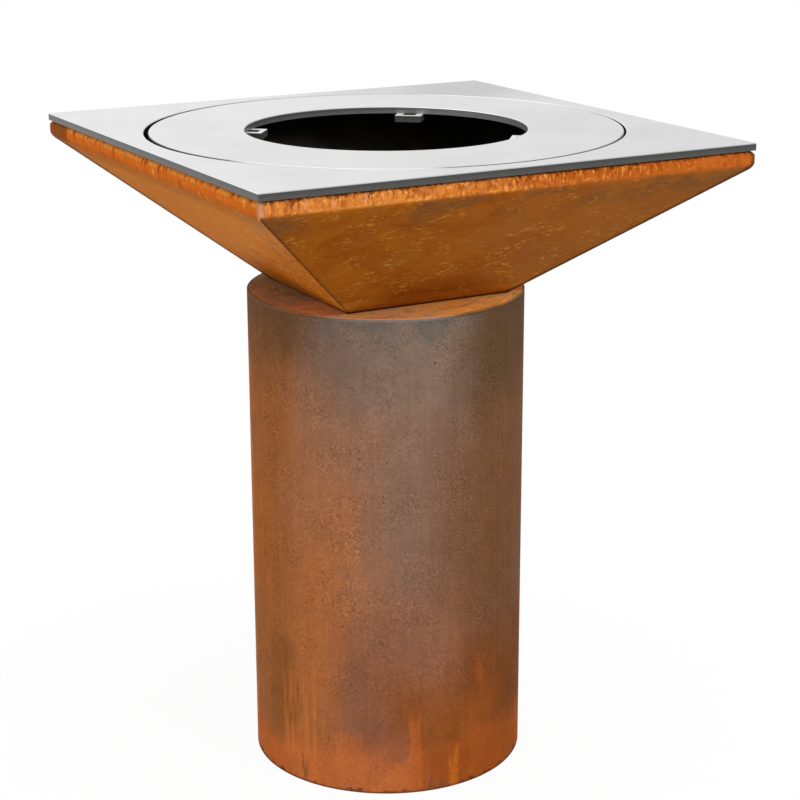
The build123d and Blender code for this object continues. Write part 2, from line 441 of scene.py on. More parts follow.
        mottle = add(tree, "TexNoise", {"Vector": spot, "Scale": per_metre(30), "Detail": 5.0})
        layers.shade(mottle, 0.93, 1.07)
        grain = add(tree, "TexNoise", {"Vector": spot, "Scale": per_metre(RUST_GRAIN), "Detail": 2.0})
        layers.shade(grain, 0.90, 1.10)
        layers.shade(strands, 0.94, 1.06)
        # painted light and shade of small hollows and lips, lit from one side
        layers.shade(embossed(tree, fine, 3.4, (0.0009, 0.0005, 0.0008), crowd), 0.74, 1.26)
        rough = add(tree, "MapRange", {"Value": grain, **NOISE_SPAN, "To Min": 0.65, "To Max": 0.85})
        relief = add(tree, "Math", {0: pits, 1: -0.6, 2: grain}, operation="MULTIPLY_ADD")
        bump = add(tree, "Bump", {"Height": relief, **RUST_RELIEF})
        layers.seal({"Roughness": rough, "Normal": bump, "Specular IOR Level": 0.02, "Sheen Weight": 0.06,
                     "Sheen Roughness": 0.2})
        return material


@dataclass(frozen=True)
class DiscPatina:
    """Weathering steel, flame cut: orange run-off from the bowl, brown where dry, rings of rust, a duller edge."""

    radius: float = 0.204
    rounding: float = 0.002
    top_z: float = 0.723
    brown: str = "b08e69"
    grey: str = "c09a86"
    dark: str = "94603a"
    bright: str = "eca45c"
    smudge: str = "7c5440"
    zones: Tuple[Zone, ...] = (
        Zone("eca468", -142.0, 12.0, 28.0),
        Zone("e0a066", -110.0, 18.0, 40.0),
        Zone("f0a450", -60.0, 20.0, 50.0),
        # a painted highlight at the right end
        Zone("ffb860", -50.0, 6.0, 16.0),
        Zone("c48a58", 60.0, 20.0, 60.0),
    )
    edge: Tuple[Zone, ...] = (
        Zone("5a3826", share=0.7),
        Zone("d28e5c", -118.0, 16.0, 36.0, share=0.75),
    )
    # the side: greyer in front, and darker to the right as painted shade
    side: Tuple[Zone, ...] = (
        Zone("6a4c36"),
        Zone("7a706a", -112.0, 14.0, 40.0),
        Zone("4f3c2c", -60.0, 18.0, 42.0),
    )

    def material(self) -> bpy.types.Material:
        """Build the finish.

        Returns:
            The material.
        """
        material, tree, spot = new_material("weathering_steel_disc")
        z = add(tree, "SeparateXYZ", {0: spot}).outputs["Z"]
        flat = add(tree, "Mapping", {"Vector": spot, "Scale": (1.0, 1.0, 0.0)})
        out = add(tree, "VectorMath", {0: flat}, operation="LENGTH").outputs["Value"]
        layers = Layers(tree, self.brown)
        layers.zones(self.zones, pushed(tree, spot, 60, (0.06, 0.06, 0.0), 5.0), z)
        layers.over(self.grey, 0.4, patches(tree, spot, 45, 0.52, 0.68))
        layers.over(self.smudge, 0.35, patches(tree, spot, 30, 0.52, 0.66, 4.0))
        # rings of rust: a noise of the distance from the middle, with a little of the place
        ring = add(tree, "CombineXYZ", {0: out})
        drift = add(tree, "VectorMath", {0: spot, 1: (0.22, 0.22, 0.22), 2: ring}, operation="MULTIPLY_ADD")
        layers.over(self.dark, 0.45, patches(tree, drift, 7, 0.52, 0.66, 4.0))
        layers.over(self.bright, 0.4, patches(tree, drift, 5, 0.55, 0.66, 4.0))
        inner = self.radius - self.rounding
        lower = self.top_z - self.rounding
        layers.zones(self.edge, spot, z, (out, inner - 0.0008, inner))
        layers.zones(self.side, spot, z, (z, lower + 0.0006, lower))
        grain = add(tree, "TexNoise", {"Vector": spot, "Scale": per_metre(RUST_GRAIN), "Detail": 3.0})
        layers.shade(grain, 0.88, 1.12)
        bump = add(tree, "Bump", {"Height": grain, **RUST_RELIEF})
        layers.seal({"Normal": bump, "Roughness": 0.75, "Specular IOR Level": 0.04})
        return material


class PanelPlaces:
    """Where a point lies on the bowl's panels, in values that several layers share.

    x, y and z are its coordinates, across is the larger of |x| and |y|, and seam is their difference, 0 at a corner.
    sideways is 1 on the left and right panels, level is 1 on the front and back ones, and on_left is 1 on the left
    one. sheet runs along a panel and up it, and gives each panel its own stretch of a pattern.
    """

    def __init__(self, tree: Tree, spot: Source) -> None:
        """Work the values out.

        Args:
            tree: the node tree.
            spot: the point's coordinates, in metres.
        """
        self.x, self.y, self.z = add(tree, "SeparateXYZ", {0: spot}).outputs
        span_x, span_y = (add(tree, "Math", {0: v}, operation="ABSOLUTE") for v in (self.x, self.y))
        self.across = add(tree, "Math", {0: span_x, 1: span_y}, operation="MAXIMUM")
        between = add(tree, "Math", {0: span_x, 1: span_y}, operation="SUBTRACT")
        self.seam = add(tree, "Math", {0: between}, operation="ABSOLUTE")
        self.sideways = add(tree, "Math", {0: span_x, 1: span_y}, operation="GREATER_THAN")
        self.level = add(tree, "Math", {0: 1.0, 1: self.sideways}, operation="SUBTRACT")
        self.on_left = mask(tree, self.sideways, (self.x, 0.0, -0.10))
        along = add(tree, "Mix", {0: self.sideways, 1: self.x, 2: self.y}, data_type="FLOAT")
        facing = add(tree, "Mix", {0: self.sideways, 1: self.y, 2: self.x}, data_type="FLOAT")
        far = add(tree, "Math", {0: facing, 1: 0.0}, operation="GREATER_THAN")
        own = add(tree, "Math", {0: self.sideways, 1: 1.7, 2: self.across}, operation="MULTIPLY_ADD")
        own = add(tree, "Math", {0: far, 1: 3.1, 2: own}, operation="MULTIPLY_ADD")
        self.sheet = add(tree, "CombineXYZ", {0: along, 1: own, 2: self.z})


@dataclass(frozen=True)
class BowlPatina:
    """Weathering steel, folded: ochre-brown walls with pale flecks, a streaked orange rim, soot inside."""

    foot_z: float = 0.723
    fold_z: float = 0.923
    rim_top: float = 0.945
    top_fold: float = 0.010
    foot_half: float = 0.130
    rim_half: float = 0.374
    # how patterns are drawn out: flecks and grain along the sheet, strokes and drips up the rim
    dash: Triple = (0.55, 1.0, 1.0)
    stroke: Triple = (1.0, 1.0, 0.45)
    drip: Triple = (1.0, 1.0, 0.2)
    ochre: str = "94520f"
    red: str = "8a460a"
    olive: str = "8e5522"
    deep: str = "743608"
    fleck: str = "c0883a"
    left_fleck: str = "da9440"
    speck: str = "6e3606"
    low: str = "a8661f"
    left_wall: str = "c07123"
    left_low: str = "a4560e"
    left_high: str = "aa6018"
    smoke: str = "664426"
    haze: str = "8a6a4c"
    shade: str = "4a2c14"
    ridge_wear_and_glint: str = "b98d68"
    rim: str = "a8561c"
    rim_bright: str = "c87834"
    rim_left: str = "d26817"
    rim_dark: str = "94430c"
    rim_tick: str = "7c340a"
    rim_shade: str = "844519"
    rim_light: str = "f0ae54"
    rim_pale: str = "c79a80"
    shadowed_teeth: str = "4a2008"
    corner: str = "cc9a78"
    soot: str = "45423f"
    soot_brown: str = "40362e"

    def depth(self, tree: Tree, at: PanelPlaces) -> Node:
        """How far a point lies behind the outer face.

        The face is foot_half + lean (z - foot_z) from the middle up the wall and rim_half up the rim, less
        top_fold - sqrt(top_fold^2 - rise^2) round the upper fold, where rise is the height above the fold's start.

        Args:
            tree: the node tree.
            at: the point.

        Returns:
            A node that gives the depth in metres.
        """
        lean = (self.rim_half - self.foot_half) / (self.fold_z - self.foot_z)
        wall = add(tree, "Math", {0: at.z, 1: lean, 2: self.foot_half - lean * self.foot_z}, operation="MULTIPLY_ADD")
        face = add(tree, "Math", {0: wall, 1: self.rim_half}, operation="MINIMUM")
        rise = add(tree, "Math", {0: at.z, 1: self.rim_top - self.top_fold}, operation="SUBTRACT")
        rise = add(tree, "Math", {0: rise, 1: 0.0}, operation="MAXIMUM")
        square = add(tree, "Math", {0: mask(tree, rise, rise), 1: -1.0, 2: self.top_fold ** 2},
                     operation="MULTIPLY_ADD")
        root = add(tree, "Math", {0: square}, operation="SQRT")
        inset = add(tree, "Math", {0: self.top_fold, 1: root}, operation="SUBTRACT")
        face = add(tree, "Math", {0: face, 1: inset}, operation="SUBTRACT")
        return add(tree, "Math", {0: face, 1: at.across}, operation="SUBTRACT")

    def walls(self, tree: Tree, at: PanelPlaces) -> Layers:
        """Lay the colours of the sloping walls.

        Args:
            tree: the node tree.
            at: the point.

        Returns:
            The stack.
        """
        x, y, z, seam, sheet = at.x, at.y, at.z, at.seam, at.sheet
        broad = pushed(tree, sheet, 60, (0.10, 0.0, 0.06), 5.0)
        broad_x, _, broad_z = add(tree, "SeparateXYZ", {0: broad}).outputs
        walls = Layers(tree, self.ochre)
        # clouds, more olive to the right, and a deeper stain low in the middle
        walls.over(self.red, 0.9, patches(tree, sheet, 60, 0.44, 0.62, 5.0))
        walls.over(self.olive, 0.6, (broad_x, -0.15, 0.25))
        walls.over(self.olive, 0.5, patches(tree, sheet, 80, 0.50, 0.66, 5.0))
        aside = add(tree, "Math", {0: broad_x, 1: 0.02}, operation="ADD")
        aside = add(tree, "Math", {0: aside}, operation="ABSOLUTE")
        walls.over(self.deep, 0.45, (broad_z, 0.815, 0.765), (aside, 0.13, 0.02))
        # the left wall is brighter, partly by painted light; deeper below a slanting line, and under the rim, where it
        # is painted shade
        walls.over(self.left_wall, 0.95, at.on_left)
        slant = add(tree, "Math", {0: y, 1: 0.26, 2: broad_z}, operation="MULTIPLY_ADD")
        walls.over(self.left_low, 0.9, at.on_left, (slant, 0.812, 0.770))
        walls.over(self.left_high, 0.9, at.on_left, (z, 0.890, 0.914))
        # lighter at the foot: painted light against the shade that falls there
        walls.over(self.low, 0.8, (z, 0.752, 0.735))
        # pale flecks of two sizes and dark specks, in crowds
        dashed = add(tree, "Mapping", {"Vector": sheet, "Scale": self.dash})
        crowd = patches(tree, sheet, 42, 0.46, 0.60)
        for width, share in ((7.0, 0.5), (3.8, 0.55)):
            walls.over(self.fleck, share, patches(tree, dashed, width, 0.57, 0.69, 2.0), crowd, (x, 0.46, 0.08))
        walls.over(self.speck, 0.35, patches(tree, dashed, 5.0, 0.57, 0.70, 2.0), crowd)
        scratched = add(tree, "Mapping", {"Vector": sheet, "Scale": (0.3, 1.0, 0.8)})
        walls.over(self.left_fleck, 0.55, at.on_left, (y, 0.05, -0.12), (z, 0.905, 0.87),
                   patches(tree, scratched, 4.0, 0.56, 0.66))
        # smoke under the rim and towards the corners
        drawn = add(tree, "Mapping", {"Vector": sheet, "Scale": (0.25, 1.0, 1.0)})
        grazed = add(tree, "TexNoise", {"Vector": drawn, "Scale": per_metre(7), "Detail": 4.0})
        for where in (patches(tree, sheet, 65, 0.48, 0.64), (seam, 0.09, 0.0)):
            walls.over(self.smoke, 0.5, at.level, (z, 0.870, 0.912), where)
        walls.over(self.haze, 0.7, at.on_left, (z, 0.83, 0.90), (seam, 0.13, 0.02), (grazed, 0.44, 0.60))
        # painted shade: dark lines at the foot and along the corners; and a pale ridge, partly bare steel and partly
        # painted highlight
        walls.over(self.shade, 0.8, (z, 0.7275, 0.7245))
        walls.over(self.shade, 0.85, at.level, (z, 0.7290, 0.7262))
        walls.over(self.shade, 0.65, at.level, (seam, 0.007, 0.001))
        walls.over(self.shade, 0.75, at.level, (x, 0.0, 0.05), (seam, 0.014, 0.007))
        ragged = add(tree, "Math", {0: grazed, 1: 0.03, 2: seam}, operation="MULTIPLY_ADD")
        walls.over(self.shade, 0.65, at.sideways, (y, 0.0, 0.05), (ragged, 0.060, 0.040))
        walls.over(self.ridge_wear_and_glint, 0.25, at.sideways, (z, 0.84, 0.90), (seam, 0.012, 0.003))
        walls.shade(grazed, 0.95, 1.05)
        return walls

    def rims(self, tree: Tree, at: PanelPlaces) -> Layers:
        """Lay the colours of the upright rim.

        Args:
            tree: the node tree.
            at: the point.

        Returns:
            The stack.
        """
        x, y, z, seam, sheet = at.x, at.y, at.z, at.seam, at.sheet
        upright = add(tree, "Mapping", {"Vector": sheet, "Scale": self.stroke})
        strokes = add(tree, "TexNoise", {"Vector": upright, "Scale": per_metre(4.2), "Detail": 3.0})
        hung = add(tree, "Mapping", {"Vector": sheet, "Scale": self.drip})
        drips = add(tree, "TexNoise", {"Vector": hung, "Scale": per_metre(9), "Detail": 4.0})
        # the left and right rims have few strokes
        busy = add(tree, "Math", {0: at.sideways, 1: -0.8, 2: 1.0}, operation="MULTIPLY_ADD")
        clusters = mask(tree, busy, patches(tree, sheet, 30, 0.34, 0.54))
        spread = mask(tree, busy, (z, 0.9250, 0.9310))
        nearer = mask(tree, (x, 0.25, -0.05))
        rims = Layers(tree, self.rim)
        rims.over(self.rim_bright, 1.0, (x, 0.10, -0.22))
        rims.over(self.rim_left, 0.95, at.on_left)
        # strokes up the rim, dark and light, and a row of painted highlight spots along the fold
        rims.over(self.rim_pale, 0.25, at.level, nearer, patches(tree, upright, 14, 0.58, 0.68))
        rims.over(self.rim_dark, 0.6, busy, patches(tree, upright, 11, 0.48, 0.62, 4.0))
        rims.over(self.rim_tick, 0.55, clusters, spread, (strokes, 0.47, 0.37))
        rims.over(self.rim_light, 0.42, spread, (x, 0.46, 0.06), (strokes, 0.55, 0.66))
        rims.over(self.rim_light, 0.4, (z, 0.9225, 0.9250), (z, 0.9320, 0.9285), nearer, clusters,
                  patches(tree, sheet, 5.0, 0.52, 0.64))
        # the left rim: drips, a painted highlight near the top, and painted shade on its lower part and far end
        rims.over(self.rim_shade, 0.35, at.on_left, (z, 0.934, 0.922))
        rims.over(self.rim_tick, 0.6, at.on_left, (drips, 0.62, 0.68))
        rims.over(self.rim_light, 0.5, at.on_left, (y, 0.10, -0.10), (drips, 0.40, 0.33))
        rims.over(self.rim_light, 0.45, at.on_left, (z, 0.9345, 0.9385), (z, 0.9440, 0.9420), (drips, 0.62, 0.44))
        rims.over(self.rim_shade, 0.85, at.on_left, (y, 0.292, 0.306))
        # dark teeth along the top edge, partly painted shadow under the plate, and ticks that hang from it
        sway = add(tree, "Math", {0: drips, 1: 0.5}, operation="SUBTRACT")
        wavy = add(tree, "Math", {0: sway, 1: 0.026, 2: z}, operation="MULTIPLY_ADD")
        rims.over(self.shadowed_teeth, 0.75, busy, (wavy, 0.9425, 0.9450))
        ticks = add(tree, "TexNoise", {"Vector": hung, "Scale": per_metre(5), "Detail": 2.0})
        hanging = add(tree, "Math", {0: ticks, 1: 0.06, 2: z}, operation="MULTIPLY_ADD")
        rims.over(self.rim_tick, 0.8, clusters, (hanging, 0.9735, 0.9775))
        # a shaded end at the right, painted; a pale corner at the front left, partly worn and partly painted highlight
        rims.over(self.shade, 0.75, at.level, (x, 0.2, 0.3), (seam, 0.010, 0.004))
        rims.over(self.corner, 0.6, (x, 0.2, -0.2), (y, 0.2, -0.2), (seam, 0.011, 0.0))
        return rims

    def material(self) -> bpy.types.Material:
        """Build the finish.

        Returns:
            The material.
        """
        material, tree, spot = new_material("weathering_steel_folded")
        at = PanelPlaces(tree, spot)
        layers = self.walls(tree, at)
        lowered = add(tree, "Math", {0: at.on_left, 1: 0.004, 2: at.z}, operation="MULTIPLY_ADD")
        layers.over(self.rims(tree, at), 1.0, (lowered, 0.9220, 0.9270))
        mottle = add(tree, "TexNoise", {"Vector": at.sheet, "Scale": per_metre(12), "Detail": 4.0})
        layers.shade(mottle, 0.92, 1.08)
        # grain too fine to show, drawn coarser
        dashed = add(tree, "Mapping", {"Vector": at.sheet, "Scale": self.dash})
        grain = add(tree, "TexNoise", {"Vector": dashed, "Scale": per_metre(3.4), "Detail": 2.0})
        layers.shade(grain, 0.93, 1.07)
        # soot on the inner face, and on the flange's underside and inner edge
        soot = Layers(tree, self.soot)
        soot.over(self.soot_brown, 1.0, patches(tree, spot, 50, 0.45, 0.70, 4.0))
        under = add(tree, "Math", {0: mask(tree, (at.z, 0.9446, 0.9440)), 1: mask(tree, (at.across, 0.356, 0.346))},
                    operation="MAXIMUM")
        layers.over(soot, 1.0, (self.depth(tree, at), 0.0022, 0.0028), under)
        rough = add(tree, "MapRange", {"Value": grain, **NOISE_SPAN, "To Min": 0.6, "To Max": 0.8})
        bump = add(tree, "Bump", {"Height": grain, **RUST_RELIEF})
        layers.seal({"Roughness": rough, "Normal": bump, "Specular IOR Level": 0.02})
        return material


@dataclass(frozen=True)
class GroundSteel:
    """Bare steel plate: ground bright on top and along the bevel, dark on the cut edges and below.

    zones lie on the ground faces and cut_zones on the cut ones. With a glint, the outer bevel, further than
    glint_from from the axis, is left as cut and carries a painted highlight in that zone only.
    """

    name: str
    top_z: float
    band: float
    cut_edge: str = "5a5b5b"
    bright: str = "e1e1e1"
    dulled: str = "dbdbdb"
    cut_low: str = "70685f"
    cut_mark: str = "4c4d4e"
    top_metal: float = 1.0
    cut_metal: float = 1.0
    mark_share: float = 0.25
    zones: Tuple[Zone, ...] = ()
    cut_zones: Tuple[Zone, ...] = ()
    glint: Optional[Zone] = None
    glint_from: float = 0.3

    def material(self) -> bpy.types.Material:
        """Build the finish.

        Returns:
            The material.
        """
        material, tree, spot = new_material(self.name)
        z = add(tree, "SeparateXYZ", {0: spot}).outputs["Z"]
        ground = Layers(tree, self.bright)
        ground.over(self.dulled, 1.0, patches(tree, spot, 160, 0.40, 0.66))
        ground.zones(self.zones, spot, z)
        cut = Layers(tree, self.cut_edge)
        cut.over(self.cut_low, 0.5, (z, self.top_z - 0.0045, self.top_z - 0.0065))
        lines = add(tree, "Mapping", {"Vector": spot, "Scale": (1.0, 1.0, 0.3)})
        cut.over(self.cut_mark, self.mark_share, patches(tree, lines, 8, 0.46, 0.70, 4.0))
        cut.zones(self.cut_zones, spot, z)
        edge = self.top_z - self.band
        upper: Source = add(tree, "MapRange", {"Value": z, "From Min": edge - 0.0001, "From Max": edge + 0.0001})
        if self.glint:
            flat = add(tree, "Mapping", {"Vector": spot, "Scale": (1.0, 1.0, 0.0)})
            out = add(tree, "VectorMath", {0: flat}, operation="LENGTH").outputs["Value"]
            outer = add(tree, "Math", {0: out, 1: self.glint_from}, operation="GREATER_THAN")
            below = add(tree, "Math", {0: z, 1: self.top_z - 0.0002}, operation="LESS_THAN")
            kept = add(tree, "Math", {0: 1.0, 1: mask(tree, outer, below)}, operation="SUBTRACT")
            upper = mask(tree, upper, kept)
            cut.zones((self.glint,), spot, z, outer)
        cut.over(ground, 1.0, upper)
        metal = add(tree, "Mix", {0: upper, 1: self.cut_metal, 2: self.top_metal}, data_type="FLOAT")
        # marks of the grinding, a tenth of a millimetre apart, drawn 1.5 mm wide so that they show
        grit = add(tree, "Mapping", {"Vector": spot, "Scale": (0.02, 1.0, 1.0)})
        scratches = add(tree, "TexNoise", {"Vector": grit, "Scale": per_metre(1.5), "Detail": 2.0})
        rough = add(tree, "MapRange", {"Value": scratches, "To Min": 0.30, "To Max": 0.42})
        bump = add(tree, "Bump", {"Height": scratches, "Strength": 0.05, "Distance": 0.0002})
        cut.seal({"Metallic": metal, "Roughness": rough, "Normal": bump})
        return material


@dataclass(frozen=True)
class FastenerSteel:
    """Black-oxide screw steel with dull brown spots of first rust."""

    black: str = "3a3836"
    rust: str = "6a4327"

    def material(self) -> bpy.types.Material:
        """Build the finish.

        Returns:
            The material.
        """
        material, tree, spot = new_material("black_oxide_steel")
        layers = Layers(tree, self.black)
        layers.over(self.rust, 1.0, patches(tree, spot, 7, 0.52, 0.66))
        layers.seal({"Metallic": 0.6, "Roughness": 0.5})
        return material


@dataclass(frozen=True)
class WeldSteel:
    """Weld metal on bare plate: dull grey, straw and brown where it was hot."""

    grey: str = "77736e"
    heat: str = "7c5f40"

    def material(self) -> bpy.types.Material:
        """Build the finish.

        Returns:
            The material.
        """
        material, tree, spot = new_material("weld_steel")
        layers = Layers(tree, self.grey)
        layers.over(self.heat, 0.8, patches(tree, spot, 9, 0.45, 0.62))
        layers.seal({"Metallic": 0.7, "Roughness": 0.45})
        return material


def quarter_turns(vectors: np.ndarray) -> np.ndarray:
    """The same points or directions at four sides: (x, y, z) becomes (-y, x, z) with each quarter turn about Z.

    Args:
        vectors: k by 3.

    Returns:
        4k by 3.
    """
    turns = [vectors]
    for _ in range(3):
        turns.append(turns[-1][:, [1, 0, 2]] * (-1.0, 1.0, 1.0))
    return np.concatenate(turns)


def skin(name: str, grids: np.ndarray, looped: bool = False) -> bpy.types.Object:
    """Turn grids of points into one closed mesh.

    The last column joins the first. The last row joins the first where the grid is looped, and otherwise one flat
    face closes each end row. Edges sharper than 30 degrees stay sharp.

    Args:
        name: the piece's name.
        grids: copies by rows by columns by 3, in metres, with the outside to the right going up the rows.
        looped: whether the rows come round on themselves.

    Returns:
        The piece, linked to the scene.
    """
    index = np.arange(grids[..., 0].size).reshape(grids.shape[:3])
    beside = np.roll(index, -1, axis=2)
    quads = np.stack([index, beside, np.roll(beside, -1, axis=1), np.roll(index, -1, axis=1)], axis=-1)
    faces = (quads if looped else quads[:, :-1]).reshape(-1, 4).tolist()
    if not looped:
        faces += index[:, 0, ::-1].tolist() + index[:, -1].tolist()
    mesh = bpy.data.meshes.new(name)
    mesh.from_pydata(grids.reshape(-1, 3).tolist(), [], faces)
    mesh.shade_smooth()
    mesh.set_sharp_from_angle(angle=math.radians(30.0))
    piece = bpy.data.objects.new(name, mesh)
    bpy.context.scene.collection.objects.link(piece)
    return piece


def put_on(nodes: Dict[str, bpy.types.Object], material: bpy.types.Material, names: List[str]) -> None:
    """Put a material on some nodes.

    Args:
        nodes: the solids by name.
        material: the finish.
        names: the solids that get it.
    """
    for name in names:
        for slot in nodes[name].material_slots:
            slot.material = material
        LOG.info("%s: %s", name, material.name)


def settle(piece: bpy.types.Object, body: str, slot: str, material: bpy.types.Material, *nodes: str) -> None:
    """Put a new piece on its body, in its finish, in place of the nodes that it stands for.

    Args:
        piece: the piece.
        body: the body that it moves with.
        slot: the record's material slot; not used.
        material: its finish.
        nodes: the solids that it replaces, if any.
    """
    piece.data.materials.append(material)
    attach(piece, body)
    if nodes:
        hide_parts(*nodes)
    LOG.info("%s: %s, on the %s", piece.name, material.name, body)


@dataclass
class Weld:
    """A weld bead: an oval carried along a straight path, rippled like a row of laid coins."""

    width: float
    height: float
    pitch: float = 0.0036
    rows_per_ripple: int = 6
    columns: int = 10

    def lay(self, start: np.ndarray, end: np.ndarray, rise: np.ndarray) -> np.ndarray:
        """Lay beads of one length side by side.

        A point is start + s along + swell (width / 2 cos t side + height sin t rise), where side is rise x along and
        swell is the end's rounding times 0.85 + 0.2 |sin pi (s / pitch + 0.4 cos t cos t)|.

        Args:
            start: where each bead starts, k by 3.
            end: where it ends, k by 3.
            rise: the way that it stands up, square to its path, k by 3.

        Returns:
            Grids of points, k by rows by columns by 3.
        """
        reach = end - start
        length = float(np.linalg.norm(reach[0]))
        along = reach / length
        rise = rise / np.linalg.norm(rise, axis=1, keepdims=True)
        side = np.cross(rise, along)
        rows = max(8, int(length / self.pitch * self.rows_per_ripple))
        s = np.linspace(0.0, length, rows)[None, :, None, None]
        t = np.linspace(0.0, 2.0 * np.pi, self.columns, endpoint=False)[None, None, :, None]
        ripple = np.abs(np.sin(np.pi * (s / self.pitch + 0.4 * np.cos(t) ** 2)))
        rounded = np.minimum(1.0, np.sqrt(np.minimum(s, length - s) / self.width + 0.05))
        swell = rounded * (0.85 + 0.2 * ripple)
        middle = start[:, None, None] + s * along[:, None, None]
        across = 0.5 * self.width * np.cos(t) * side[:, None, None]
        return middle + swell * (across + self.height * np.sin(t) * rise[:, None, None])


@dataclass
class HexFastener:
    """An M10 hexagon screw with its nut, chamfered at 30 degrees, its thread cut as a helix."""

    across_flats: float = 0.016
    shank: float = 0.005
    root: float = 0.0042
    pitch: float = 0.0015
    bore: float = 0.0051
    threaded: float = 0.015
    # how far in and up the screw's tip is chamfered, and the nut's bore
    tip: Tuple[float, float] = (0.0004, 0.0005)
    lead: float = 0.0006
    columns: int = 48

    def angles(self) -> np.ndarray:
        """The columns' angles, with the hexagon's corners among them."""
        return np.linspace(0.0, 2.0 * np.pi, self.columns, endpoint=False)

    def flats(self) -> np.ndarray:
        """Distance from the axis to the hexagon: half the flats over the cosine of the angle from a flat's middle."""
        return 0.5 * self.across_flats / np.cos(np.mod(self.angles(), np.pi / 3.0) - np.pi / 6.0)

    def face(self) -> float:
        """Radius of the round flat that the chamfer leaves at an end: 0.95 of half the flats."""
        return 0.475 * self.across_flats

    def chamfer(self) -> np.ndarray:
        """How far below its end the hexagon's side starts: a 30 degree cone cuts off each corner."""
        return (self.flats() - self.face()) * math.tan(math.radians(30.0))

    def turned(self, rows: List[Tuple[Union[float, np.ndarray], Union[float, np.ndarray]]]) -> np.ndarray:
        """Points of a turned shape: (r cos a, r sin a, z) at each row's radius and height.

        Args:
            rows: radius and height of each row, one number or one for each column.

        Returns:
            Rows by columns by 3.
        """
        a = self.angles()
        radii = np.stack([np.broadcast_to(r, a.shape) for r, _ in rows])
        heights = np.stack([np.broadcast_to(h, a.shape) for _, h in rows])
        return np.stack([radii * np.cos(a), radii * np.sin(a), heights], axis=-1)

    def screw(self, end: float, seat: float, top: float) -> np.ndarray:
        """A screw from its end up to its head.

        The thread's radius is root + (shank - root) |2 f - 1|, where f is the broken part of z / pitch - a / (2 pi).

        Args:
            end: height of the screw's end.
            seat: height of the head's underside.
            top: height of the head's top.

        Returns:
            Rows by columns by 3.
        """
        inwards, upwards = self.tip
        turn = self.angles() / (2.0 * np.pi)
        cuts = np.arange(end + 2.0 * upwards, end + self.threaded, self.pitch / 6.0)
        crest = np.abs(2.0 * np.mod(cuts[:, None] / self.pitch - turn, 1.0) - 1.0)
        thread = self.root + (self.shank - self.root) * crest
        rows = [(self.root - inwards, end), (self.root, end + upwards)]
        rows += list(zip(thread, cuts))
        rows += [(self.shank, end + self.threaded + upwards), (self.shank, seat), (self.flats(), seat)]
        rows += [(self.flats(), top - self.chamfer()), (self.face(), top)]
        return self.turned(rows)

    def nut(self, low: float, high: float) -> np.ndarray:
        """A nut, from the bore out along its underside, up its flats and back down the bore.

        Args:
            low: height of its underside.
            high: height of its top.

        Returns:
            Rows by columns by 3, looped.
        """
        edge, lead = self.face(), self.lead
        return self.turned([(self.bore + lead, low), (edge, low), (self.flats(), low + self.chamfer()),
                            (self.flats(), high - self.chamfer()), (edge, high), (self.bore + lead, high),
                            (self.bore, high - lead), (self.bore, low + lead)])


@dataclass
class Pedestal:
    """The tube with its seam, the top disc and the base ring."""

    nodes: Dict[str, bpy.types.Object]
    seam_at: float = 75.0
    seam_short: float = 0.001
    seam: Weld = field(default_factory=lambda: Weld(0.008, 0.0009))

    def build(self) -> bpy.types.Object:
        """Lay the tube's upright seam at the back, a little short of both ends.

        Returns:
            The seam.
        """
        low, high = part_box("pedestal_tube")
        a = math.radians(self.seam_at)
        outwards = np.array([[math.cos(a), math.sin(a), 0.0]])
        start, end = (outwards * high.x + (0.0, 0.0, z) for z in (low.z + self.seam_short, high.z - self.seam_short))
        return skin("pedestal_seam", self.seam.lay(start, end, outwards))

    def dress(self) -> None:
        """Give the tube, disc and ring their finishes."""
        rolled = TubePatina().material()
        put_on(self.nodes, rolled, ["pedestal_tube", "pedestal_base_ring"])
        put_on(self.nodes, DiscPatina().material(), ["pedestal_top_disc"])
        settle(self.build(), "stand", "pedestal_weathering_steel", rolled)


